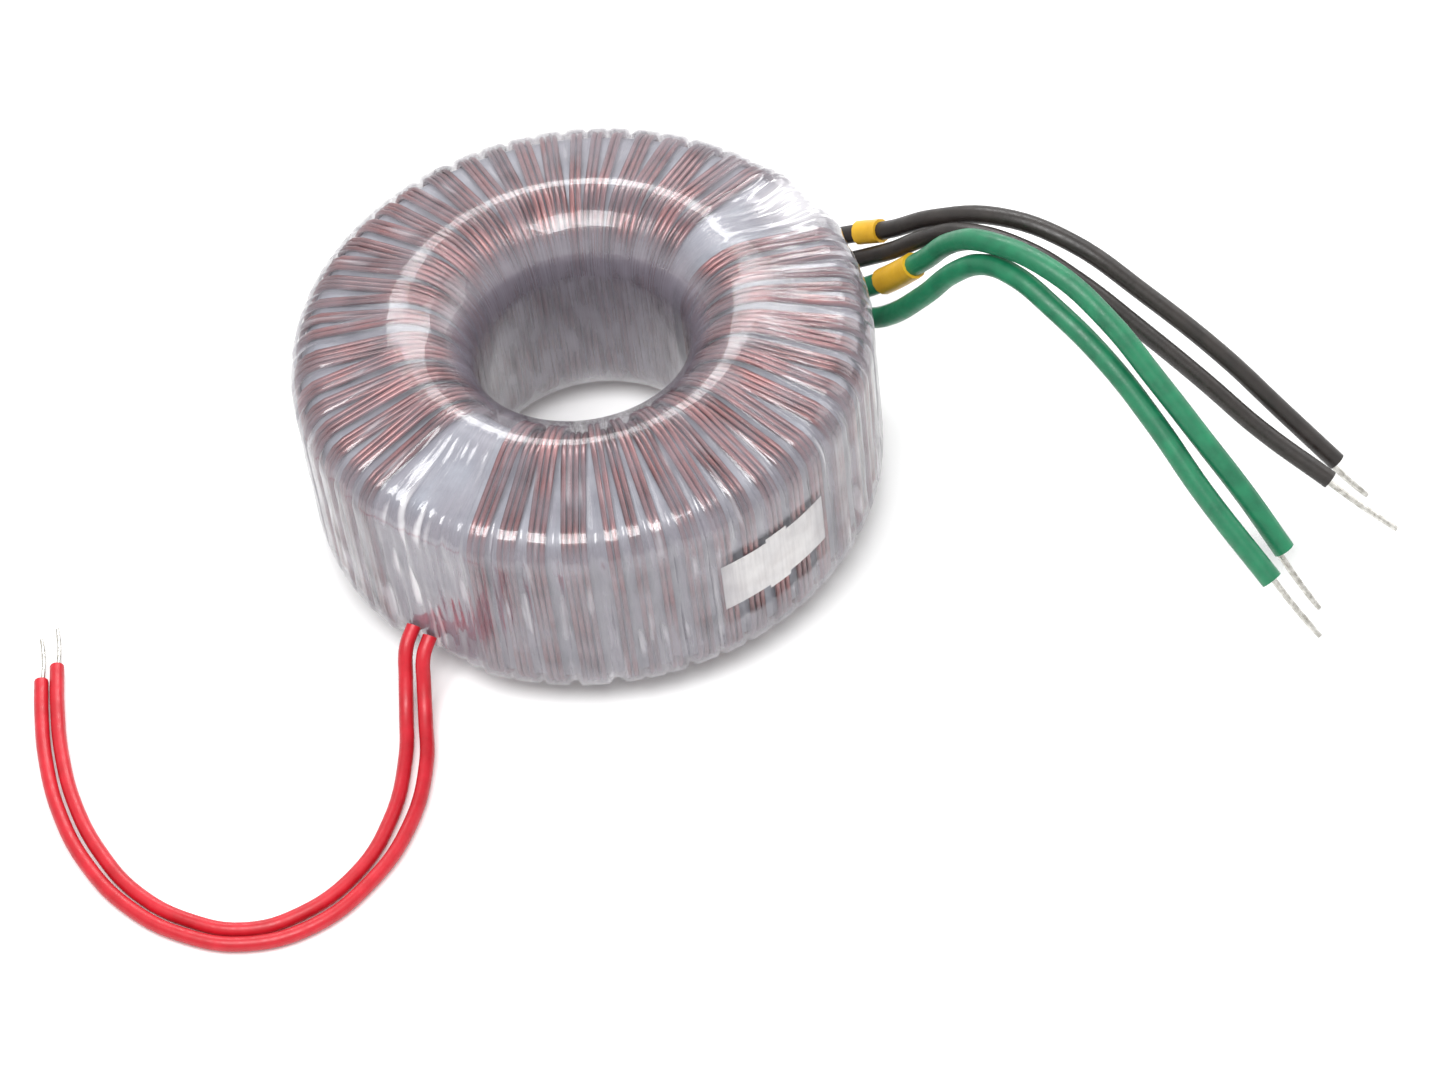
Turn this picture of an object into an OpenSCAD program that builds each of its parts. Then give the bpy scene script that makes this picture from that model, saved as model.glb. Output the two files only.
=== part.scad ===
// Toroidal mains transformer with flying leads, lying on its flat seat ring.
// The film-wrapped ring is built from its section outwards in: film, two
// secondary windings, insulation, primary winding, core insulation, core.
// Millimetres. Z is the axis of the ring, z = 0 is the seat, and angles run
// anticlockwise from +X.

/* [Ring] */
// Outside diameter over the film
outer_d = 95; // [90:0.5:102]
// Diameter of the through hole
hole_d = 34.4; // [32:0.1:38]
// Height from seat to seat
height = 44; // [42:0.5:50]
// Radius of the section where it turns into the hole
inner_round = 11.4; // [10.6:0.1:12]
// Radius of the section at the outer rim
outer_round = 6.3; // [5.8:0.1:7]
// How far the outer rim lies below the seat plane
rim_drop = 2.9; // [2:0.1:3.6]

/* [Film] */
// Thickness of the overlapped film turns
film_t = 0.35; // [0.2:0.05:0.45]
// How deep the film sinks between two bundles of wire
web_depth = 0.8; // [0.2:0.05:0.85]
// How far the film bulges over the roots of the secondary leads
root_bulge = 1.4; // [0:0.1:2]

/* [Secondary windings] */
// Diameter of the enamelled wire
wire_d = 0.95; // [0.8:0.01:1]
// Bundles of turns in each winding
bundles = 26; // [20:1:27]
// Turns in an ordinary bundle
bundle_turns = 3; // [2:1:3]
// Angle where the bundles begin, behind the roots of the leads
wound_from = 37; // [34:1:44]
// Angle where the bundles end, before the roots of the leads
wound_to = 379; // [372:1:382]
// Angle where the bare stretch over the primary leads begins
bare_from = 218; // [210:1:222]
// Width of that bare stretch
bare_width = 21; // [14:1:26]

/* [Layers under the secondaries] */
// Insulation between the windings
insulation_t = 0.5; // [0.2:0.1:0.8]
// Depth of the primary winding in the hole
primary_in = 4; // [3:0.1:4.4]
// Depth of the primary winding on the outer wall
primary_out = 2; // [1.6:0.1:2.4]
// Thickness of the core insulation
core_wrap_t = 0.5; // [0.3:0.1:0.8]

/* [Label] */
// Length of the paper along the wall
label_l = 21; // [15:0.5:24]
// Height of the paper
label_h = 10.3; // [8:0.1:12]
// Thickness of the paper
label_t = 0.1; // [0.06:0.01:0.12]
// Angle of the middle of the label
label_at = -55; // [-62:1:-48]
// Height of the middle of the label
label_z = 22.5; // [20:0.5:24]

/* [Leads] */
// Outside diameter of the red insulated leads
red_d = 2.4; // [2:0.1:2.4]
// Outside diameter of the black sleeves
black_d = 3.1; // [2.6:0.1:3.2]
// Outside diameter of the green sleeves
green_d = 3.6; // [3:0.1:3.7]
// Diameter of the tinned ends of the secondaries
tinned_d = 1; // [0.8:0.05:1.2]
// Diameter of the tinned ends of the red leads
red_core_d = 0.7; // [0.5:0.05:1]
// Wall of the yellow sleeves
yellow_wall = 0.4; // [0.2:0.05:0.6]
// Length of the yellow sleeve on the black lead
upper_yellow_l = 6.5; // [4:0.5:6.5]
// Length of the yellow sleeve on the green lead
lower_yellow_l = 12; // [8:0.5:12]

/* [Hidden] */
$fn = 96;

// Clearances
film_clear = 0.3;   // film to the wires under it
wire_gap = 0.08;    // between neighbouring wires
layer_gap = 0.15;   // between one layer and the next
slit = 4;           // height in the hole over which a turn shifts to the next
link_margin = 0.06; // by which the link across the slit is thinner, and let in
label_gap = 0.06;   // film to the paper under it
sleeve_fit = 0.1;   // yellow sleeve to the lead in it
trim = 0.1;         // film that the hole and the two seats are finished through

// The section: two circles above, two below, joined by tangent lines
hole_r = hole_d / 2;
outer_r = outer_d / 2;
wire_pitch = wire_d + wire_gap;
inner_x = hole_r + inner_round;
outer_x = outer_r - outer_round;
inner_z = height / 2 - inner_round;
outer_z = height / 2 - rim_drop - outer_round;
tilt = asin((inner_round - outer_round) / norm([outer_x - inner_x, outer_z - inner_z]))
    - atan((outer_z - inner_z) / (outer_x - inner_x));

// Depths below the outside of the film, [in the hole, on the outer wall]
function deeper(depth, by_in, by_out) = [depth[0] + by_in, depth[1] + by_out];
depth_b = deeper([0, 0], film_t + film_clear + wire_d / 2, film_t + film_clear + wire_d / 2);
depth_a = deeper(depth_b, wire_d + layer_gap, 0);
depth_ins = deeper(depth_a, wire_d / 2 + layer_gap, wire_d / 2 + layer_gap);
depth_pri = deeper(depth_ins, insulation_t + layer_gap, insulation_t + layer_gap);
depth_wrap = deeper(depth_pri, primary_in + layer_gap, primary_out + layer_gap);
core_in = hole_r + depth_wrap[0] + core_wrap_t;
core_out = outer_r - depth_wrap[1] - core_wrap_t;
core_round = inner_round - depth_wrap[0];
core_h = 2 * (inner_z + sqrt(core_round ^ 2 - (core_round - core_wrap_t + layer_gap) ^ 2) - 3 * layer_gap);

// Closed outline of a layer at these depths, in the r-z plane about mid-height
arc_steps = 4;
function arc(x, z, r, from, to) =
    [for (i = [0:arc_steps]) let (a = from + (to - from) * i / arc_steps) [x + r * cos(a), z + r * sin(a)]];
function line_angle(depth) =
    let (run = [outer_x - inner_x, outer_z - inner_z])
    90 + atan(run[1] / run[0])
        - asin((inner_round - depth[0] - outer_round + depth[1]) / norm(run));
function upper(depth) = concat(
    arc(outer_x, outer_z, outer_round - depth[1], 0, line_angle(depth)),
    arc(inner_x, inner_z, inner_round - depth[0], line_angle(depth), 180));
function reversed(v) = [for (i = [len(v) - 1:-1:0]) v[i]];
function flipped(points) = [for (p = reversed(points)) [p[0], -p[1]]];
function outline(depth) = concat(upper(depth), flipped(upper(depth)));

module layer(outside, inside) {
    translate([0, 0, height / 2]) rotate_extrude() difference() {
        polygon(outline(outside));
        polygon(outline(inside));
    }
}

module core() {
    color("#6f7479") translate([0, 0, (height - core_h) / 2]) difference() {
        cylinder(r = core_out, h = core_h);
        translate([0, 0, -1]) cylinder(r = core_in, h = core_h + 2);
    }
}

module core_insulation() {
    color("#d9d2b8") translate([0, 0, height / 2]) rotate_extrude() difference() {
        polygon(outline(depth_wrap));
        translate([core_in - layer_gap, -core_h / 2 - layer_gap])
            square([core_out - core_in + 2 * layer_gap, core_h + 2 * layer_gap]);
    }
}

module primary_winding() {
    color("#8c4a2f") layer(depth_pri, deeper(depth_wrap, -layer_gap, -layer_gap));
}

module winding_insulation() {
    color("#9aa0ab") layer(depth_ins, deeper(depth_pri, -layer_gap, -layer_gap));
}

// Layout of the bundles: each takes a slot along the wound angle
a_pitch = asin(wire_pitch / (hole_r + depth_a[0]));
b_pitch = asin(wire_pitch / (hole_r + depth_b[0]));
function turns_a(k) = bundle_turns + (k % 5 == 1 ? 1 : 0) - (k % 7 == 3 ? 1 : 0);
function sum(v, upto, i = 0) = i < upto ? v[i] + sum(v, upto, i + 1) : 0;
counts_a = [for (k = [0:bundles - 1]) turns_a(k)];
wound = wound_to - wound_from - bare_width;
slot_gap = (wound - sum(counts_a, bundles) * a_pitch) / bundles;
slots = [for (n = counts_a) n * a_pitch + slot_gap];
function past_bare(s) = wound_from + s + (wound_from + s > bare_from ? bare_width : 0);
angles_a = [for (k = [0:bundles - 1]) past_bare(sum(slots, k) + slots[k] / 2)];
angles_b = [for (k = [0:bundles - 1]) past_bare(sum(slots, k + 1))];
counts_b = [for (k = [0:bundles - 1])
    floor((min(slots[k], slots[min(k + 1, bundles - 1)]) - slot_gap / 3) / b_pitch)];

// Open path of one turn about mid-height: up from the slit in the hole wall,
// over the top to the outer wall, and back below to the slit
function over(depth) = concat([[hole_r + depth[0], slit / 2]], reversed(upper(depth)));
function half_way(depth) = [[outer_r - depth[1], 0]];
function turn_path(depth, part) =
    part == "last" ? concat(over(depth), half_way(depth))
    : part == "first" ? concat(half_way(depth), flipped(over(depth)))
    : concat(over(depth), flipped(over(depth)));

// A turn lies in the plane of its bundle, y from the middle of the bundle
module turn(angle, y, depth, part) {
    half = wire_d / 2;
    rotate([0, 0, angle]) translate([0, y, height / 2]) rotate([90, 0, 0])
        linear_extrude(height = wire_d, center = true) polygon(concat(
            turn_path(deeper(depth, -half, -half), part),
            reversed(turn_path(deeper(depth, half, half), part))));
}

// The wire shifts to the next turn in the hole, across the slit. This link is
// a little thinner than the wire and is let into the two turns that it joins.
module shift_up(p, q, depth) {
    half = wire_d / 2 - link_margin;
    n = ceil(max(1, abs(q[0] - p[0]) / 8));
    points = [for (i = [0:n]) let (f = i / n, a = p[0] + (q[0] - p[0]) * f)
        for (c = [[-half, -half], [half, -half], [half, half], [-half, half]])
            let (x = hole_r + depth[0] + c[0], y = p[1] + (q[1] - p[1]) * f + c[1])
            [x * cos(a) - y * sin(a), x * sin(a) + y * cos(a), height / 2 + (slit + link_margin) * (f - 1 / 2)]];
    walls = [for (i = [0:n - 1]) for (j = [0:3]) let (k = (j + 1) % 4)
        each [[4 * i + j, 4 * i + 4 + j, 4 * i + 4 + k], [4 * i + j, 4 * i + 4 + k, 4 * i + k]]];
    polyhedron(points, concat([[0, 1, 2, 3]], walls, [[4 * n + 3, 4 * n + 2, 4 * n + 1, 4 * n]]));
}

// One winding, a single wire from its first turn to its last
function places(angles, counts) = [for (k = [0:len(angles) - 1]) for (i = [0:counts[k] - 1])
    [angles[k], (i - (counts[k] - 1) / 2) * wire_pitch]];
module winding(angles, counts, depth) {
    spots = places(angles, counts);
    last = len(spots) - 1;
    for (i = [0:last])
        turn(spots[i][0], spots[i][1], depth, i == 0 ? "first" : i == last ? "last" : "whole");
    for (i = [0:last - 1]) shift_up(spots[i], spots[i + 1], depth);
}

module secondary_winding_a() {
    color("#a4583c") winding(angles_a, counts_a, depth_a);
}

module secondary_winding_b() {
    color("#b56a4c") winding(angles_b, counts_b, depth_b);
}

// The film: a thin closed skin that rides over each bundle and sinks between
// them. Its section is a ring of flats that touch the circles of the section.
function flats(x, z, r, angles) = [for (i = [0:len(angles) - 2])
    let (mid = (angles[i] + angles[i + 1]) / 2, half = (angles[i + 1] - angles[i]) / 2)
    [x, z, r, mid, half]];
film_line = 90 - tilt;
film_rows = concat(
    flats(inner_x, -inner_z, inner_round, [180, 210, 240, 270, 360 - film_line]),
    flats(outer_x, -outer_z, outer_round, [-film_line, -film_line / 2, 0]),
    [[outer_x, label_z - height / 2 - label_h / 2 - 1.4, outer_round, 0, 0]],
    [[outer_x, label_z - height / 2 + label_h / 2 + 1.4, outer_round, 0, 0]],
    flats(outer_x, outer_z, outer_round, [0, film_line / 3, film_line / 1.5, film_line]),
    flats(inner_x, inner_z, inner_round, [film_line, 90, 112.5, 135, 157.5, 180]));
first_out = 4;   // rows from here to last_out follow the bundles
last_out = 10;
label_rows = [6, 7];
function film_point(row, depth) =
    let (r = (row[2] - depth) / cos(row[4]))
    [row[0] + r * cos(row[3]), row[1] + r * sin(row[3])];

// Columns round the ring: [angle on the wall, angle in the hole, sink, bulge]
angles_all = [for (k = [0:bundles - 1]) each [angles_a[k], angles_b[k]]];
counts_all = [for (k = [0:bundles - 1]) each [counts_a[k], counts_b[k]]];
total = 2 * bundles;
function half_crest(m) =
    asin(((counts_all[m] - 1) * wire_pitch + wire_d) / 2 / (outer_r - film_t - film_clear));
function next_angle(m) = m == total - 1 ? angles_all[0] + 360 : angles_all[m + 1];
function step_after(m) = next_angle(m) - angles_all[m];
function step_before(m) = m == 0 ? step_after(total - 1) : step_after(m - 1);
function inner_half(m) = 0.3 * min(step_after(m), step_before(m), 8);
function webs(m) =
    let (from = angles_all[m] + half_crest(m), to = next_angle(m) - half_crest((m + 1) % total),
        in_from = angles_all[m] + inner_half(m), in_to = next_angle(m) - inner_half((m + 1) % total),
        n = max(1, round((to - from) / 6)), root = m == total - 1)
    [for (j = [1:n]) let (f = j / (n + 1))
        [from + (to - from) * f, in_from + (in_to - in_from) * f, root ? 0.3 : 1,
            root ? sin(180 * f) : 0]];
film_columns = [for (m = [0:total - 1]) each concat(
    [[angles_all[m] - half_crest(m), angles_all[m] - inner_half(m), 0, 0]],
    [[angles_all[m] + half_crest(m), angles_all[m] + inner_half(m), 0, 0]],
    webs(m))];
label_half = asin(label_l / 2 / outer_r) + 4;
function over_label(angle) = abs((angle - label_at + 180) % 360 - 180) < label_half;

function film_vertex(row, column, skin) =
    let (outside = row >= first_out && row <= last_out,
        lifted = (row == label_rows[0] || row == label_rows[1]) && over_label(column[0]),
        sink = outside && !lifted ? column[2] * web_depth : 0,
        bulge = outside ? column[3] * root_bulge : 0,
        finish = skin == 0 && !outside ? -trim : 0,
        p = film_point(film_rows[row], sink - bulge + skin + finish),
        angle = outside ? column[0] : column[1])
    [p[0] * cos(angle), p[0] * sin(angle), height / 2 + p[1]];
module film_skin(skin) {
    rows = len(film_rows);
    columns = len(film_columns);
    points = [for (c = film_columns) for (r = [0:rows - 1]) film_vertex(r, c, skin)];
    function corner(c, r) = (c % columns) * rows + r % rows;
    faces = [for (c = [0:columns - 1]) for (r = [0:rows - 1]) each [
        [corner(c, r), corner(c, r + 1), corner(c + 1, r + 1)],
        [corner(c, r), corner(c + 1, r + 1), corner(c + 1, r)]]];
    polyhedron(points, faces, convexity = 8);
}

module outer_wrap() {
    color("#a79fa8") difference() {
        film_skin(0);
        film_skin(film_t);
        translate([0, 0, -1]) cylinder(r = hole_r, h = height + 2);
        translate([0, 0, -10]) cylinder(r = outer_r, h = 10);
        translate([0, 0, height]) cylinder(r = outer_r, h = 10);
    }
}

module label() {
    inside = outer_r - film_t - label_gap - label_t;
    tab_h = 0.8;
    color("#f2efe9") intersection() {
        difference() {
            cylinder(r = inside + label_t, h = height);
            translate([0, 0, -1]) cylinder(r = inside, h = height + 2);
        }
        rotate([0, 0, label_at]) translate([0, 0, label_z]) rotate([90, 0, 90])
            linear_extrude(height = outer_r) {
                square([label_l, label_h], center = true);
                square([label_l / 5, label_h + 2 * tab_h], center = true);
            }
    }
}

// Routes of the leads, from the film to the end of the insulation
red_route_1 = [[-32.6, -33.2, 10.8], [-34.2, -36, 9.2], [-35, -39.4, 5.5], [-35.6, -44, 2.4], [-36.3, -52, 1.3],
    [-39.7, -64.7, 1.3], [-45.6, -73.9, 1.3], [-54.6, -80.1, 1.3], [-63.3, -81.6, 1.3], [-71.9, -78.5, 1.3],
    [-80, -72, 1.3], [-85.7, -63.3, 1.3], [-89.6, -53.5, 1.3], [-91.8, -42.7, 1.3], [-92.5, -32.5, 1.3],
    [-92.5, -24.2, 1.3]];
red_route_2 = [[-30.2, -35.4, 10.3], [-31.6, -38, 8.8], [-32.2, -41, 5.2], [-32.6, -45.4, 2.4], [-33.1, -54, 1.3],
    [-36.7, -66.2, 1.3], [-43.2, -75.6, 1.3], [-52.6, -82.6, 1.3], [-63.4, -84.3, 1.3], [-73.3, -80.9, 1.3],
    [-81.6, -74.3, 1.3], [-87.9, -65.3, 1.3], [-92.3, -54.3, 1.3], [-94.5, -42.9, 1.3], [-95.1, -33.4, 1.3],
    [-95.1, -26.9, 1.3]];
black_route_1 = [[39.5, 25.5, 18], [43.8, 26, 18.8], [48.5, 24.2, 21.5], [53, 20.8, 26], [58.3, 17, 32],
    [64.3, 12.6, 36.8], [73.3, 6.2, 37.8], [81, 0.6, 34.8], [89.8, -5.6, 28.6], [99.3, -12.4, 21.3],
    [107.8, -18.4, 14], [118, -25.2, 7.3]];
black_route_2 = [[37.5, 28.3, 20.5], [42, 29.8, 21], [46.8, 28.6, 22.9], [52.6, 24.8, 26.8], [59.8, 19.8, 33.4],
    [70.4, 12.8, 39], [80.6, 6, 38.4], [91.8, -1.4, 31.5], [103.2, -8.9, 22.6], [111.6, -14.6, 14.2],
    [120, -20.7, 6.2]];
green_route_1 = [[41.3, 22.4, 15.5], [45.2, 21.8, 16.4], [49, 19.8, 19.2], [57.2, 13.9, 29.9], [61.9, 9.9, 37.6],
    [66.8, 4.4, 42.7], [76.6, -5.6, 44.2], [83.9, -13.4, 39.9], [90.3, -20.9, 32.8], [96.7, -28.2, 24.9],
    [102.5, -34.5, 17.4], [107.7, -40.1, 9.4]];
green_route_2 = [[43.3, 19.1, 13.1], [46.9, 17.1, 14.4], [50.4, 14, 17.6], [56.7, 8.9, 27], [61.8, 6.2, 34.5],
    [66, 3.2, 38.7], [70.2, -1.3, 40.4], [76, -8.4, 38.7], [83.1, -16.7, 33.8], [89.4, -25.2, 27.2],
    [95.6, -34.4, 19.4], [104.7, -45.6, 9]];

function unit(v) = v / norm(v);
function direction(route, i) = unit(route[min(i + 1, len(route) - 1)] - route[max(i - 1, 0)]);
module straight(from, to, d) {
    along = unit(to - from);
    side = unit(cross(along, [0, 0, 1]));
    up = cross(along, side);
    multmatrix([[side[0], up[0], along[0], from[0]], [side[1], up[1], along[1], from[1]],
                [side[2], up[2], along[2], from[2]]])
        cylinder(d = d, h = norm(to - from), $fn = 24);
}
module tube(route, d, sides = 8) {
    n = len(route);
    points = [for (i = [0:n - 1]) let (
            t = direction(route, i),
            side = unit(cross(t, [0, 0, 1])),
            up = cross(side, t))
        for (j = [0:sides - 1]) let (a = 360 * (j + 0.5) / sides)
            route[i] + d / 2 * (cos(a) * side + sin(a) * up)];
    walls = [for (i = [0:n - 2]) for (j = [0:sides - 1]) let (k = (j + 1) % sides)
        [i * sides + j, i * sides + k, (i + 1) * sides + k, (i + 1) * sides + j]];
    polyhedron(points, concat([[for (j = [sides - 1:-1:0]) j]], walls,
        [[for (j = [0:sides - 1]) (n - 1) * sides + j]]));
}
// A tinned end leaves the insulation beside its middle
module tinned_end(route, d, length, off) {
    last = len(route) - 1;
    t = direction(route, last);
    side = unit(cross(t, [0, 0, 1]));
    from = route[last] + off[0] * side + off[1] * cross(side, t);
    color("#b9b7b2") straight(from, from + length * t, d);
}
module slipped_sleeve(route, from, lead_d, length) {
    start = 0.7;
    a = route[from];
    t = unit(route[from + 1] - a);
    color("#d7a51f") difference() {
        straight(a + start * t, a + (start + length) * t, lead_d + 2 * (sleeve_fit + yellow_wall));
        straight(a + (start - 1) * t, a + (start + length + 1) * t, lead_d + 2 * sleeve_fit);
    }
}

module red_lead_1() { color("#c8202f") tube(red_route_1, red_d); }
module red_lead_2() { color("#c8202f") tube(red_route_2, red_d); }
module red_lead_1_end() { tinned_end(red_route_1, red_core_d, 8.3, [0, -0.2]); }
module red_lead_2_end() { tinned_end(red_route_2, red_core_d, 9, [0, -0.2]); }
module black_lead_1() { color("#26221f") tube(black_route_1, black_d); }
module black_lead_2() { color("#26221f") tube(black_route_2, black_d); }
module black_lead_1_end() { tinned_end(black_route_1, tinned_d, 13.5, [0.6, 0.3]); }
module black_lead_2_end() { tinned_end(black_route_2, tinned_d, 7.6, [0.5, -0.5]); }
module green_lead_1() { color("#1f7a54") tube(green_route_1, green_d); }
module green_lead_2() { color("#1f7a54") tube(green_route_2, green_d); }
module green_lead_1_end() { tinned_end(green_route_1, tinned_d, 11.5, [0.6, -0.4]); }
module green_lead_2_end() { tinned_end(green_route_2, tinned_d, 12, [-0.8, -0.4]); }
module upper_yellow_sleeve() { slipped_sleeve(black_route_2, 2, black_d, upper_yellow_l); }
module lower_yellow_sleeve() { slipped_sleeve(green_route_1, 2, green_d, lower_yellow_l); }

core();
core_insulation();
primary_winding();
winding_insulation();
secondary_winding_a();
secondary_winding_b();
outer_wrap();
label();
red_lead_1();
red_lead_2();
red_lead_1_end();
red_lead_2_end();
black_lead_1();
black_lead_2();
green_lead_1();
green_lead_2();
black_lead_1_end();
black_lead_2_end();
green_lead_1_end();
green_lead_2_end();
upper_yellow_sleeve();
lower_yellow_sleeve();
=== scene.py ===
import math

import bmesh
import bpy
import numpy as np
from mathutils import Matrix, Vector, geometry, noise


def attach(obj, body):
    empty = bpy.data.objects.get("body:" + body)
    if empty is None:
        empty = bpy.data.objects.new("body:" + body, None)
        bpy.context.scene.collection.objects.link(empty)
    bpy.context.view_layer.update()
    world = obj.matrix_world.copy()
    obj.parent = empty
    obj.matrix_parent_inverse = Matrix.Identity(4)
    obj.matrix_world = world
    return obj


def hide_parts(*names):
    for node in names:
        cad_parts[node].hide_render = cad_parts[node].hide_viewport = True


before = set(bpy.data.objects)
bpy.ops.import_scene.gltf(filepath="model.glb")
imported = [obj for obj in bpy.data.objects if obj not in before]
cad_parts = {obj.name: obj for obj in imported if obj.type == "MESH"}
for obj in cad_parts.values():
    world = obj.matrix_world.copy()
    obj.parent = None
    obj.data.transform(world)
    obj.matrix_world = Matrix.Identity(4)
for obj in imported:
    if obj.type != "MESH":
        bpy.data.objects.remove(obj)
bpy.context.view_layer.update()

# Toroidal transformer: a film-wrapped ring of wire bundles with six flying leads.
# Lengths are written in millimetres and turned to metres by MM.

MM = 0.001

# ---- Sizes, as in the part's source ----
OUTER_R = 47.5
HOLE_R = 17.2
HEIGHT = 44.0
MID = HEIGHT / 2
INNER_ROUND = 11.4
OUTER_ROUND = 6.3
RIM_DROP = 2.9
INNER = (HOLE_R + INNER_ROUND, MID - INNER_ROUND)             # middle of the section's inner circle
OUTER = (OUTER_R - OUTER_ROUND, MID - RIM_DROP - OUTER_ROUND)  # middle of its outer circle
WIRE_D = 0.95
WIRE_PITCH = 1.03
BUNDLES = 26
WOUND_FROM = 37
BARE_FROM = 218
BARE_WIDTH = 21
DEPTH_A = (2.225, 1.125)     # in the hole, on the outer wall
DEPTH_B = (1.125, 1.125)
DEPTH_INS = (2.85, 1.75)


def clear_selection():
    bpy.ops.object.select_all(action="DESELECT")


def take_new(name):
    """The object that an operator has just added, named and alone."""
    made = bpy.context.object
    made.name = name
    made.data.name = name
    return made


def smooth(low, high, x):
    t = np.clip((x - low) / (high - low), 0, 1)
    return t * t * (3 - 2 * t)


# ---- Camera ----
def add_camera():
    right = Vector((0.99138, -0.10085, -0.08368))
    up = Vector((0.13104, 0.76294, 0.63305))
    back = right.cross(up).normalized()
    up = back.cross(right)
    place = Vector((18.13, -489.21, 571.69)) * MM
    bpy.ops.object.camera_add(location=place)
    camera = take_new("camera")
    turn = Matrix((right, up, back)).transposed().to_4x4()
    camera.matrix_world = Matrix.Translation(place) @ turn
    camera.data.lens = 112.07
    camera.data.sensor_width = 36
    camera.data.clip_start = 0.01
    camera.data.clip_end = 20
    bpy.context.scene.camera = camera


add_camera()


# ---- Materials ----
def linear(hex_colour):
    """sRGB hex to the linear colour that a shader socket takes."""
    channels = [int(hex_colour[i:i + 2], 16) / 255 for i in (1, 3, 5)]
    return [c / 12.92 if c <= 0.04045 else ((c + 0.055) / 1.055) ** 2.4 for c in channels] + [1.0]


def add(tree, kind, sockets=None, **settings):
    """Adds a node: settings are its properties, sockets its inputs as values or as outputs to link."""
    node = tree.nodes.new(kind)
    for key, value in settings.items():
        setattr(node, key, value)
    for key, value in (sockets or {}).items():
        if isinstance(value, bpy.types.NodeSocket):
            tree.links.new(value, node.inputs[key])
        else:
            node.inputs[key].default_value = value
    return node


def new_material(name, **sockets):
    """A material with these values on its shader's own sockets. Gives it, its nodes and the shader."""
    material = bpy.data.materials.new(name)
    material.use_nodes = True
    shader = material.node_tree.nodes["Principled BSDF"]
    for key, value in sockets.items():
        shader.inputs[key.replace("_", " ")].default_value = value
    return material, material.node_tree, shader


def ramp(tree, value, *stops):
    """Colour ramp through (position, hex colour) stops."""
    node = add(tree, "ShaderNodeValToRGB", {"Fac": value})
    elements = node.color_ramp.elements
    while len(elements) < len(stops):
        elements.new(0.5)
    for element, (position, colour) in zip(elements, stops):
        element.position = position
        element.color = linear(colour)
    return node.outputs["Color"]


def span(tree, value, low, high, to_low, to_high):
    return add(tree, "ShaderNodeMapRange", {
        "Value": value, "From Min": low, "From Max": high, "To Min": to_low, "To Max": to_high,
    }).outputs["Result"]


def grain(tree, size_mm, coords="Object", stretch=(1, 1, 1), detail=3.0, **sockets):
    """Noise whose blobs are about size_mm across, stretched by axis."""
    place = add(tree, "ShaderNodeTexCoord").outputs[coords]
    scaled = add(tree, "ShaderNodeMapping", {"Vector": place, "Scale": [1 / s for s in stretch]})
    scale = 1 / (size_mm * MM) if coords == "Object" else 1 / size_mm
    return add(tree, "ShaderNodeTexNoise", {
        "Vector": scaled.outputs["Vector"], "Scale": scale, "Detail": detail, **sockets}).outputs["Fac"]


def bump(tree, shader, height, depth_mm, strength):
    settings = {"Height": height, "Distance": depth_mm * MM, "Strength": strength}
    made = add(tree, "ShaderNodeBump", settings)
    tree.links.new(made.outputs["Normal"], shader.inputs["Normal"])


def insulation_material(name, dark, pale):
    """Milky polyester tape: soft sheen, cloudy where air is caught between turns."""
    material, tree, shader = new_material(name, IOR=1.6)
    clouds = grain(tree, 5, detail=4)
    tree.links.new(ramp(tree, clouds, (0.3, dark), (0.72, pale)), shader.inputs["Base Color"])
    tree.links.new(span(tree, grain(tree, 2), 0.3, 0.7, 0.3, 0.5), shader.inputs["Roughness"])
    bump(tree, shader, grain(tree, 1.6), 0.12, 0.5)
    return material


def enamel_material(name, dark, bright):
    """Drawn copper under clear brown enamel: a metal seen through a hard glossy coat."""
    material, tree, shader = new_material(
        name, Metallic=0.6, Coat_Weight=0.9, Coat_Roughness=0.08, Coat_IOR=1.55)
    drift = grain(tree, 7, detail=2)
    tree.links.new(ramp(tree, drift, (0.3, dark), (0.7, bright)), shader.inputs["Base Color"])
    tree.links.new(span(tree, grain(tree, 1.5), 0.3, 0.7, 0.28, 0.42), shader.inputs["Roughness"])
    return material


def sleeve_material(name, dark, body, gloss=0.38, dust=0.35):
    """Extruded soft sleeve: even colour with a faint orange-peel surface, rubbed a little paler."""
    material, tree, shader = new_material(name, IOR=1.5)
    mottle = ramp(tree, grain(tree, 3.5, detail=4), (0.25, dark), (0.75, body))
    tree.links.new(mottle, shader.inputs["Base Color"])
    rub = span(tree, grain(tree, 1.2, detail=4), 0.35, 0.7, gloss - 0.05, gloss + dust * 0.4)
    tree.links.new(rub, shader.inputs["Roughness"])
    bump(tree, shader, grain(tree, 0.45, detail=2), 0.03, 0.6)
    return material


def tinned_material():
    """Copper dipped in solder: bright, lumpy, duller where the flux sat."""
    material, tree, shader = new_material("solder-tinned copper", Metallic=1.0)
    lumps = ramp(tree, grain(tree, 0.9, detail=4), (0.3, "#9d9a92"), (0.7, "#d9d7d2"))
    tree.links.new(lumps, shader.inputs["Base Color"])
    tree.links.new(span(tree, grain(tree, 0.6), 0.3, 0.7, 0.2, 0.42), shader.inputs["Roughness"])
    bump(tree, shader, grain(tree, 0.8), 0.08, 0.7)
    return material


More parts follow.
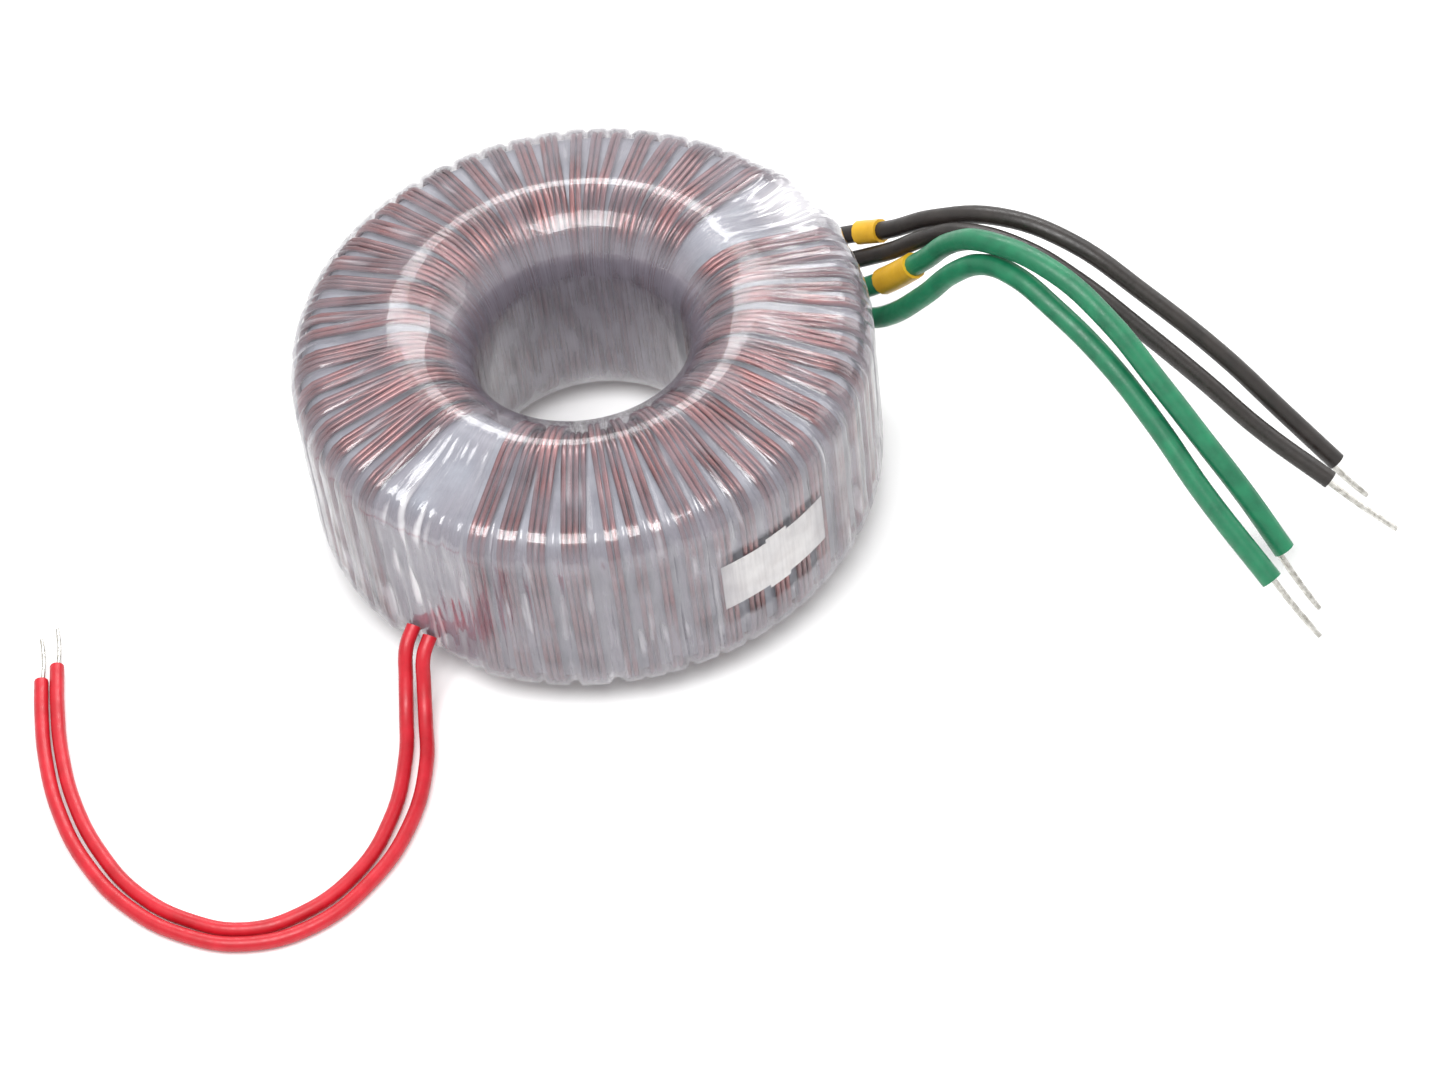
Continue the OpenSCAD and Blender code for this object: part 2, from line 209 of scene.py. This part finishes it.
def film_material():
    """Clear polyester film in overlapped turns: glossy, hazy where it stands off what is under it. Over the back
    of the ring it is made hazier as painted glare, and crumpled film is painted pale, partly as its own
    whitening, partly as painted highlights.
    """
    material, tree, shader = new_material(
        "clear polyester film", IOR=1.64, Specular_IOR_Level=0.9,
        Coat_Weight=1.0, Coat_Roughness=0.05, Coat_IOR=1.6)
    # How hazy the film is, with painted glare added over the back of the ring
    haze = add(tree, "ShaderNodeAttribute", attribute_name="haze").outputs["Fac"]
    # Crumpled film: its own whitening together with painted highlights
    white = add(tree, "ShaderNodeAttribute", attribute_name="crumple").outputs["Fac"]
    # Streaks run along the turns of film: UV goes once round the ring, so this is about 0.6 mm at the rim
    streaks = grain(tree, 0.0022, "UV", (1, 60, 1), detail=4)
    clouds = grain(tree, 6, detail=3)
    veil = haze
    uneven = (span(tree, streaks, 0.3, 0.7, -0.13, 0.13), span(tree, clouds, 0.3, 0.7, -0.1, 0.1), white)
    for extra in uneven:
        veil = add(tree, "ShaderNodeMath", {0: veil, 1: extra}, operation="ADD").outputs[0]
    tree.links.new(span(tree, veil, 0, 1, 0.08, 0.92), shader.inputs["Alpha"])
    # Pale where crumpled: partly the film's own whitening, partly painted highlights
    tree.links.new(ramp(tree, white, (0.0, "#8b8590"), (0.7, "#d8d6da")), shader.inputs["Base Color"])
    tree.links.new(span(tree, streaks, 0.3, 0.7, 0.1, 0.2), shader.inputs["Roughness"])
    bump(tree, shader, streaks, 0.2, 0.6)
    return material


def paper_material():
    """Matt label paper under the film: off-white, faintly mottled by the glue."""
    material, tree, shader = new_material("label paper", Roughness=0.7)
    mottle = ramp(tree, grain(tree, 2.5, detail=5), (0.25, "#dedad8"), (0.75, "#f1efee"))
    tree.links.new(mottle, shader.inputs["Base Color"])
    bump(tree, shader, grain(tree, 0.4), 0.02, 0.4)
    return material


def steel_material():
    """Strip-wound electrical steel: fine satin lines round the ring."""
    material, tree, shader = new_material("strip-wound electrical steel", Metallic=1.0)
    lines = grain(tree, 0.3, stretch=(1, 1, 40))
    tree.links.new(ramp(tree, lines, (0.3, "#5d6166"), (0.7, "#8b9096")), shader.inputs["Base Color"])
    tree.links.new(span(tree, lines, 0.3, 0.7, 0.35, 0.5), shader.inputs["Roughness"])
    return material


FILM = film_material()
INSULATION = insulation_material("milky insulating film", "#8d919c", "#b4b8c2")
CORE_WRAP = insulation_material("core insulating tape", "#b5ac92", "#d6cfb8")
ENAMEL_A = enamel_material("brown enamelled copper", "#4f2729", "#8d5350")
ENAMEL_B = enamel_material("red-brown enamelled copper", "#5a2a2c", "#9c5f5c")
TINNED = tinned_material()
RED = sleeve_material("red wire insulation", "#b3121f", "#cf2030")
BLACK = sleeve_material("black soft sleeve", "#1b1715", "#2c2623")
GREEN = sleeve_material("green soft sleeve", "#125f41", "#1f8058")
YELLOW = sleeve_material("yellow soft sleeve", "#c8961a", "#dfb02c")
PAPER = paper_material()
STEEL = steel_material()


def paint(obj, material):
    obj.data.materials.clear()
    obj.data.materials.append(material)


# ---- Leads ----
RED_1 = [(-32.6, -33.2, 10.8), (-34.2, -36, 9.2), (-35, -39.4, 5.5), (-35.6, -44, 2.4), (-36.3, -52, 1.3),
         (-39.7, -64.7, 1.3), (-45.6, -73.9, 1.3), (-54.6, -80.1, 1.3), (-63.3, -81.6, 1.3), (-71.9, -78.5, 1.3),
         (-80, -72, 1.3), (-85.7, -63.3, 1.3), (-89.6, -53.5, 1.3), (-91.8, -42.7, 1.3), (-92.5, -32.5, 1.3),
         (-92.5, -24.2, 1.3)]
RED_2 = [(-30.2, -35.4, 10.3), (-31.6, -38, 8.8), (-32.2, -41, 5.2), (-32.6, -45.4, 2.4), (-33.1, -54, 1.3),
         (-36.7, -66.2, 1.3), (-43.2, -75.6, 1.3), (-52.6, -82.6, 1.3), (-63.4, -84.3, 1.3), (-73.3, -80.9, 1.3),
         (-81.6, -74.3, 1.3), (-87.9, -65.3, 1.3), (-92.3, -54.3, 1.3), (-94.5, -42.9, 1.3), (-95.1, -33.4, 1.3),
         (-95.1, -26.9, 1.3)]
BLACK_1 = [(39.5, 25.5, 18), (43.8, 26, 18.8), (48.5, 24.2, 21.5), (53, 20.8, 26), (58.3, 17, 32),
           (64.3, 12.6, 36.8), (73.3, 6.2, 37.8), (81, 0.6, 34.8), (89.8, -5.6, 28.6), (99.3, -12.4, 21.3),
           (107.8, -18.4, 14), (118, -25.2, 7.3)]
BLACK_2 = [(37.5, 28.3, 20.5), (42, 29.8, 21), (46.8, 28.6, 22.9), (52.6, 24.8, 26.8), (59.8, 19.8, 33.4),
           (70.4, 12.8, 39), (80.6, 6, 38.4), (91.8, -1.4, 31.5), (103.2, -8.9, 22.6), (111.6, -14.6, 14.2),
           (120, -20.7, 6.2)]
GREEN_1 = [(41.3, 22.4, 15.5), (45.2, 21.8, 16.4), (49, 19.8, 19.2), (57.2, 13.9, 29.9), (61.9, 9.9, 37.6),
           (66.8, 4.4, 42.7), (76.6, -5.6, 44.2), (83.9, -13.4, 39.9), (90.3, -20.9, 32.8), (96.7, -28.2, 24.9),
           (102.5, -34.5, 17.4), (107.7, -40.1, 9.4)]
GREEN_2 = [(43.3, 19.1, 13.1), (46.9, 17.1, 14.4), (50.4, 14, 17.6), (56.7, 8.9, 27), (61.8, 6.2, 34.5),
           (66, 3.2, 38.7), (70.2, -1.3, 40.4), (76, -8.4, 38.7), (83.1, -16.7, 33.8), (89.4, -25.2, 27.2),
           (95.6, -34.4, 19.4), (104.7, -45.6, 9)]
CURVE_STEPS = 6


def curve_tube(name, points, radius, tip_radius=None):
    """A round tube on one smooth line through the points (mm). Gives the piece and its centreline (m)."""
    clear_selection()
    line = bpy.data.curves.new(name, "CURVE")
    line.dimensions = "3D"
    line.resolution_u = CURVE_STEPS
    spline = line.splines.new("BEZIER")
    spline.bezier_points.add(len(points) - 1)
    for knot, p in zip(spline.bezier_points, points):
        knot.co = Vector(p) * MM
        knot.handle_left_type = knot.handle_right_type = "AUTO"
    if tip_radius:
        spline.bezier_points[-1].radius = tip_radius / radius
    line.bevel_depth = radius * MM
    line.bevel_resolution = 4
    line.use_fill_caps = True
    tube = bpy.data.objects.new(name, line)
    bpy.context.collection.objects.link(tube)
    bpy.context.view_layer.update()
    knots = tube.data.splines[0].bezier_points
    path = []
    for a, b in zip(knots[:-1], knots[1:]):
        path += geometry.interpolate_bezier(a.co, a.handle_right, b.handle_left, b.co, CURVE_STEPS + 1)[:-1]
    path.append(knots[-1].co.copy())
    tube.select_set(True)
    bpy.context.view_layer.objects.active = tube
    bpy.ops.object.convert(target="MESH")
    tube = take_new(name)
    bpy.ops.object.shade_smooth_by_angle(angle=math.radians(50))
    return tube, [Vector(p) for p in path]


def hollow_end(tube, tip, direction, wall, depth):
    """Sinks the end face of a sleeve at tip, so that its wall shows."""
    clear_selection()
    tube.select_set(True)
    bpy.context.view_layer.objects.active = tube
    bpy.ops.object.mode_set(mode="EDIT")
    bpy.ops.mesh.select_all(action="DESELECT")
    bpy.ops.mesh.select_mode(type="FACE")
    mesh = bmesh.from_edit_mesh(tube.data)
    for face in mesh.faces:
        face.select_set(len(face.verts) > 4 and (face.calc_center_median() - tip).length < 0.3 * MM)
    bmesh.update_edit_mesh(tube.data)
    bpy.ops.mesh.inset(thickness=wall * MM)
    bpy.ops.mesh.extrude_region_move(TRANSFORM_OT_translate={"value": -direction * depth * MM})
    bpy.ops.object.mode_set(mode="OBJECT")


SLEEVE_HOLLOW = 5       # how far the open end of a sleeve can be seen into, mm


def add_lead(name, route, diameter, material, wall):
    tube, path = curve_tube(name, route, diameter / 2)
    direction = (path[-1] - path[-2]).normalized()
    if wall:
        hollow_end(tube, path[-1], direction, wall, SLEEVE_HOLLOW)
    paint(tube, material)
    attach(tube, "root")
    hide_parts(name)
    return tube, path


def across(direction):
    side = direction.cross(Vector((0, 0, 1))).normalized()
    return side, side.cross(direction)


TIP_TAPER = 0.42        # radius at the tip of a tinned wire, as a share of its diameter


def tinned_end(name, path, diameter, length, off, sink, bend=0.35):
    """The bare wire out of a lead's end: from inside the sleeve, beside its middle, a little bent."""
    tip = path[-1]
    direction = (tip - path[-2]).normalized()
    side, up = across(direction)
    start = tip + (side * off[0] + up * off[1]) * MM
    points = []
    for f in (0, 0.3, 0.55, 0.8, 1):
        sway = bend * math.sin(math.pi * f) * (1 if f < 1 else 0)
        along = direction * (f * (length + sink) - sink) * MM
        points.append((start + along + side * sway * MM) / MM)
    wire, _ = curve_tube(name + "_wire", points, diameter / 2, diameter * TIP_TAPER)
    paint(wire, TINNED)
    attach(wire, "root")
    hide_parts(name)
    return wire


def lead_with_end(name, route, diameter, material, end, wall=0):
    """A lead and its bare end: end is the wire's diameter, length, place off the middle, and start inside."""
    lead, path = add_lead(name, route, diameter, material, wall)
    core_d, length, off, sink = end
    wire = tinned_end(name + "_end", path, core_d, length, off, sink)


def slipped_sleeve(name, path, lead_d, start_mm, length_mm):
    """A short yellow sleeve slipped over a lead."""
    run = 0
    points = []
    for a, b in zip(path[:-1], path[1:]):
        if start_mm * MM <= run <= (start_mm + length_mm) * MM:
            points.append(a / MM)
        run += (b - a).length
    tube, line = curve_tube(name + "_piece", points, lead_d / 2 + 0.5)
    for tip, direction in ((line[-1], line[-1] - line[-2]), (line[0], line[0] - line[1])):
        hollow_end(tube, tip, direction.normalized(), 0.42, 1.5)
    paint(tube, YELLOW)
    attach(tube, "root")
    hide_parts(name)
    return tube


def path_of(route):
    """The smooth line that a lead follows, without keeping its piece."""
    tube, path = curve_tube("trial", route, 1)
    bpy.data.objects.remove(tube)
    return path


# Start from the root of the lead, and length
upper_yellow = slipped_sleeve("upper_yellow_sleeve", path_of(BLACK_2), 3.1, 10.8, 6.5)
lower_yellow = slipped_sleeve("lower_yellow_sleeve", path_of(GREEN_1), 3.6, 10, 12)
for number, route, bare in ((1, RED_1, 8.3), (2, RED_2, 9)):
    lead_with_end(f"red_lead_{number}", route, 2.4, RED,
                  (0.7, bare, (0, -0.2), 1))
lead_with_end("black_lead_1", BLACK_1, 3.1, BLACK,
              (1, 13.5, (0.5, 0.3), 4), wall=0.5)
lead_with_end("black_lead_2", BLACK_2, 3.1, BLACK,
              (1, 7.6, (0.45, -0.45), 4), wall=0.5)
lead_with_end("green_lead_1", GREEN_1, 3.6, GREEN,
              (1, 11.5, (0.6, -0.4), 4), wall=0.55)
lead_with_end("green_lead_2", GREEN_2, 3.6, GREEN,
              (1, 12, (-0.8, -0.4), 4), wall=0.55)


# ---- Section of the ring ----
ARC_STEPS = 60


def section(depth, count):
    """count even steps round the section at these depths (hole, outer wall), from the hole over the top."""
    inner_r, outer_r = INNER_ROUND - depth[0], OUTER_ROUND - depth[1]
    run = (OUTER[0] - INNER[0], OUTER[1] - INNER[1])
    line = math.pi / 2 + math.atan(run[1] / run[0]) - math.asin((inner_r - outer_r) / math.hypot(*run))
    top = []
    for (x, z), r, start, end in ((INNER, inner_r, math.pi, line), (OUTER, outer_r, line, 0)):
        top += [(x + r * math.cos(a), z + r * math.sin(a)) for a in np.linspace(start, end, ARC_STEPS)]
    loop = np.array(top + [(x, -z) for x, z in reversed(top)] + [top[0]])
    walked = np.concatenate([[0], np.cumsum(np.hypot(*np.diff(loop, axis=0).T))])
    at = np.linspace(0, walked[-1], count, endpoint=False) + walked[-1] / count / 2
    return np.stack([np.interp(at, walked, loop[:, 0]), np.interp(at, walked, loop[:, 1])], axis=1)


def outward(loop):
    """Outward normals of a closed section."""
    along = np.roll(loop, -1, axis=0) - np.roll(loop, 1, axis=0)
    along /= np.linalg.norm(along, axis=1)[:, None]
    return np.stack([-along[:, 1], along[:, 0]], axis=1)


# Layout of the bundles round the ring, degrees
a_pitch = math.degrees(math.asin(WIRE_PITCH / (HOLE_R + DEPTH_A[0])))
b_pitch = math.degrees(math.asin(WIRE_PITCH / (HOLE_R + DEPTH_B[0])))
counts_a = [3 + (k % 5 == 1) - (k % 7 == 3) for k in range(BUNDLES)]
wound = 379 - WOUND_FROM - BARE_WIDTH
slot_gap = (wound - sum(counts_a) * a_pitch) / BUNDLES
slots = [n * a_pitch + slot_gap for n in counts_a]


def past_bare(s):
    return WOUND_FROM + s + (BARE_WIDTH if WOUND_FROM + s > BARE_FROM else 0)


angles_a = [past_bare(sum(slots[:k]) + slots[k] / 2) for k in range(BUNDLES)]
angles_b = [past_bare(sum(slots[:k + 1])) for k in range(BUNDLES)]
narrower = [min(slots[k], slots[min(k + 1, BUNDLES - 1)]) for k in range(BUNDLES)]
counts_b = [int((slot - slot_gap / 3) / b_pitch) for slot in narrower]


def ring_grid(name, around, loop_count):
    """A flat grid to lay round a section. Gives the piece and each vertex's steps round and along."""
    clear_selection()
    bpy.ops.mesh.primitive_grid_add(x_subdivisions=around, y_subdivisions=loop_count, size=1, calc_uvs=True)
    piece = take_new(name)
    flat = np.empty(len(piece.data.vertices) * 3)
    piece.data.vertices.foreach_get("co", flat)
    flat = flat.reshape(-1, 3)
    step_round = np.rint((flat[:, 0] + 0.5) * around).astype(int) % around
    step_along = np.rint((flat[:, 1] + 0.5) * loop_count).astype(int) % loop_count
    return piece, (step_round, step_along)


def lay(piece, steps, points_mm, **values):
    """Moves the vertices to points_mm[round, along], keeps values as attributes and closes the seams."""
    piece.data.vertices.foreach_set("co", (points_mm[steps] * MM).ravel())
    for name, grid in values.items():
        layer = piece.data.attributes.new(name, "FLOAT", "POINT")
        layer.data.foreach_set("value", np.clip(grid[steps], 0, 1).astype(np.float32))
    piece.data.update()
    clear_selection()
    piece.select_set(True)
    bpy.context.view_layer.objects.active = piece
    bpy.ops.object.mode_set(mode="EDIT")
    bpy.ops.mesh.select_all(action="SELECT")
    bpy.ops.mesh.remove_doubles(threshold=1e-6)
    bpy.ops.mesh.normals_make_consistent(inside=False)
    bpy.ops.object.mode_set(mode="OBJECT")
    bpy.ops.object.shade_smooth()


# ---- Wires ----
TURN_POINTS = 56
WIRE_SIDES = 8


def add_winding(name, angles, counts, depth, material, node, seed):
    """Round wires side by side in bundles, each turn round the whole section."""
    turn, steps = ring_grid(name, TURN_POINTS, WIRE_SIDES)
    loop = section(depth, TURN_POINTS)
    normals = outward(loop)
    round_angle = np.arange(WIRE_SIDES) * 2 * math.pi / WIRE_SIDES
    out = loop[:, None, :] + normals[:, None, :] * (np.cos(round_angle) * WIRE_D / 2)[None, :, None]
    side = np.broadcast_to(np.sin(round_angle) * WIRE_D / 2, (TURN_POINTS, WIRE_SIDES))
    flat = np.stack([out[..., 0], side, MID + out[..., 1]], axis=-1)
    lay(turn, steps, flat)
    paint(turn, material)
    copies = []
    rng = np.random.default_rng(seed)
    for angle, count in zip(angles, counts):
        skew = rng.uniform(-0.8, 0.8)
        for i in range(count):
            y = (i - (count - 1) / 2) * WIRE_PITCH
            copy = turn.copy()
            copy.data = turn.data.copy()
            place = Matrix.Rotation(math.radians(angle), 4, "Z") @ Matrix.Translation((0, y * MM, 0))
            shake = Matrix.Rotation(math.radians(rng.uniform(-0.12, 0.12) + skew * 0.2), 4, "Z")
            copy.data.transform(place @ shake)
            bpy.context.collection.objects.link(copy)
            copies.append(copy)
    bpy.data.objects.remove(turn)
    clear_selection()
    for copy in copies:
        copy.select_set(True)
    bpy.context.view_layer.objects.active = copies[0]
    bpy.ops.object.join()
    wires = take_new(name)
    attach(wires, "root")
    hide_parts(node)
    return wires


add_winding("wires_under", angles_a, counts_a, DEPTH_A, ENAMEL_A, "secondary_winding_a", seed=80)
add_winding("wires_over", angles_b, counts_b, DEPTH_B, ENAMEL_B, "secondary_winding_b", seed=73)

# ---- Insulation under the wires ----
INS_AROUND, INS_LOOP = 180, 64


def add_insulation():
    skin, steps = ring_grid("insulation_skin", INS_AROUND, INS_LOOP)
    loop = section(DEPTH_INS, INS_LOOP)
    angle = np.arange(INS_AROUND) * 2 * math.pi / INS_AROUND
    x = loop[None, :, 0] * np.cos(angle)[:, None]
    y = loop[None, :, 0] * np.sin(angle)[:, None]
    z = np.broadcast_to(MID + loop[None, :, 1], x.shape)
    lay(skin, steps, np.stack([x, y, z], axis=-1))
    paint(skin, INSULATION)
    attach(skin, "root")
    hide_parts("winding_insulation")


add_insulation()

# ---- Film ----
FILM_AROUND, FILM_LOOP = 900, 100
LABEL_AT, LABEL_SPAN = 305, 17      # degrees, where the film lies flat and clear
ROOTS_AT, BARE_AT = 28, 228         # degrees, where the film is crumpled: painted pale there, as whitening with painted highlights


def lateral_gap(angle, radius):
    """How far a point of the ring is past the edge of the nearest bundle, mm; below zero on a bundle."""
    gap = np.full(np.broadcast(angle, radius).shape, 99.0)
    for centre, count in zip(angles_a + angles_b, counts_a + counts_b):
        half = ((count - 1) * WIRE_PITCH + WIRE_D) / 2
        off = (angle - math.radians(centre) + math.pi) % (2 * math.pi) - math.pi
        y = np.where(abs(off) < 1.5, abs(radius * np.sin(off)), 99)
        gap = np.minimum(gap, y - half)
    return gap


def near(angle, centre, half_width):
    """1 at an angle (degrees), fading to 0 at half_width either side."""
    off = (np.degrees(angle) - centre + 180) % 360 - 180
    return 1 - smooth(0.4, 1.0, abs(off) / half_width)


def film_noise(angle, around, along, offset):
    """Even noise over the film's grid, closed round the ring."""
    return np.array([[noise.noise(Vector((math.cos(a) * around, math.sin(a) * around, j * along + offset)))
                      for j in range(FILM_LOOP)] for a in angle[:, 0]])


def add_film():
    film, steps = ring_grid("film_skin", FILM_AROUND, FILM_LOOP)
    loop = section((0, 0), FILM_LOOP)
    normals = outward(loop)
    angle = (np.arange(FILM_AROUND) * 2 * math.pi / FILM_AROUND)[:, None]
    radius = loop[None, :, 0]
    height = loop[None, :, 1]
    gap = lateral_gap(angle, radius)
    web = smooth(0.0, 1.3, gap)
    wide = smooth(2.0, 5.0, gap)
    out = smooth(27, 36, radius)
    flat = near(angle, LABEL_AT, LABEL_SPAN) * smooth(45, 47.2, radius) * (abs(height - 0.5) < 9)
    sink = out * (0.75 * web + 0.5 * wide) * (1 - 0.9 * flat)
    root = near(angle, 31, 13) * smooth(38, 44, radius)
    sink = sink - root * 1.4
    rumple = film_noise(angle, 9, 0.22, 0)
    fine = film_noise(angle, 38, 0.12, 7)
    sink = sink + out * (0.2 * rumple + 0.3 * fine * (0.4 + web) * (1 - flat))
    sink = np.maximum(sink, 0.02 - root * 1.4)
    points = loop[None] - normals[None] * sink[..., None]
    x = points[..., 0] * np.cos(angle)
    y = points[..., 0] * np.sin(angle)
    z = np.clip(MID + points[..., 1], 0.0, HEIGHT)
    wall = smooth(43, 47.3, radius) * np.ones_like(angle)
    hole = 1 - smooth(18.5, 23, radius) * np.ones_like(angle)
    # Painted glare: the back of the ring is made hazier, so paler, in place of the glare of the light behind it
    back = near(angle, 60, 70) * smooth(30, 40, radius)
    label = near(angle, LABEL_AT, LABEL_SPAN) * smooth(46.5, 47.3, radius) * (abs(height - 0.5) < 8)
    haze = 0.24 + 0.32 * wall + 0.5 * hole + 0.16 * back + 0.12 * web + 0.22 * rumple
    # Crumpled film at the lead roots and on the fine ripples: whitening with painted highlights
    crumple = 0.5 * near(angle, ROOTS_AT, 11) * smooth(34, 42, radius) + 0.25 * smooth(0.35, 0.6, fine) * out
    haze = haze * (1 - 0.8 * label)
    # Crumpled film over the bare gap: whitening with painted highlights
    bare = 0.5 * near(angle, BARE_AT, 8) * smooth(40, 45, radius) * smooth(0.1, 0.4, fine)
    crumple = crumple * (1 - label) + bare
    lay(film, steps, np.stack([x, y, z], axis=-1), haze=haze, crumple=crumple)
    paint(film, FILM)
    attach(film, "root")
    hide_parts("outer_wrap")


add_film()

# ---- Carried-over pieces ----
for node, material in (("core", STEEL), ("core_insulation", CORE_WRAP), ("primary_winding", ENAMEL_A),
                       ("label", PAPER)):
    paint(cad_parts[node], material)


# ---- Floor, lights and backdrop ----
def seen_directly(tree):
    """1 for what the camera, a reflection or clear film sees, 0 for what only lights a surface."""
    path = add(tree, "ShaderNodeLightPath")
    seen = add(tree, "ShaderNodeMath", {0: path.outputs["Is Camera Ray"], 1: path.outputs["Is Glossy Ray"]},
               operation="MAXIMUM").outputs[0]
    through = {0: seen, 1: path.outputs["Is Transmission Ray"]}
    return add(tree, "ShaderNodeMath", through, operation="MAXIMUM").outputs[0]


SKY_LIGHT = 0.32        # what the white surround gives the object
FLOOR_DROP = 0.0002     # metres below the seat, so that the two don't share a plane


def add_floor():
    clear_selection()
    bpy.ops.mesh.primitive_plane_add(size=6, location=(0, 0, -FLOOR_DROP))
    floor = take_new("floor")
    bpy.ops.object.transform_apply(location=True)
    material, tree, shader = new_material("pale floor", Roughness=0.9)
    paper = ramp(tree, grain(tree, 60), (0.3, "#f2f2f2"), (0.7, "#f6f6f6"))
    tree.links.new(paper, shader.inputs["Base Color"])
    shader.inputs["Emission Color"].default_value = linear("#ffffff")
    shader.inputs["Emission Strength"].default_value = 0.12
    paint(floor, material)


def add_lamp(name, place, size, energy, target=(0, 0, 20)):
    clear_selection()
    place = Vector(place) * MM
    bpy.ops.object.light_add(type="AREA", location=place)
    lamp = take_new(name)
    lamp.data.shape = "RECTANGLE"
    lamp.data.size, lamp.data.size_y = size[0] * MM, size[1] * MM
    lamp.data.energy = energy
    lamp.rotation_euler = (Vector(target) * MM - place).to_track_quat("-Z", "Y").to_euler()


def add_world():
    world = bpy.data.worlds.new("studio")
    bpy.context.scene.world = world
    world.use_nodes = True
    tree = world.node_tree
    sky = tree.nodes["Background"]
    strength = span(tree, seen_directly(tree), 0, 1, SKY_LIGHT, 1.0)
    tree.links.new(strength, sky.inputs["Strength"])
    sky.inputs["Color"].default_value = linear("#ffffff")


add_floor()
add_world()
add_lamp("softbox", (-80, -250, 620), (520, 300), 4.6)
add_lamp("side_box", (520, 260, 380), (420, 420), 1.2)
add_lamp("back_strip", (60, 420, 430), (560, 130), 2.4)

scene = bpy.context.scene
scene.view_settings.view_transform = "Standard"
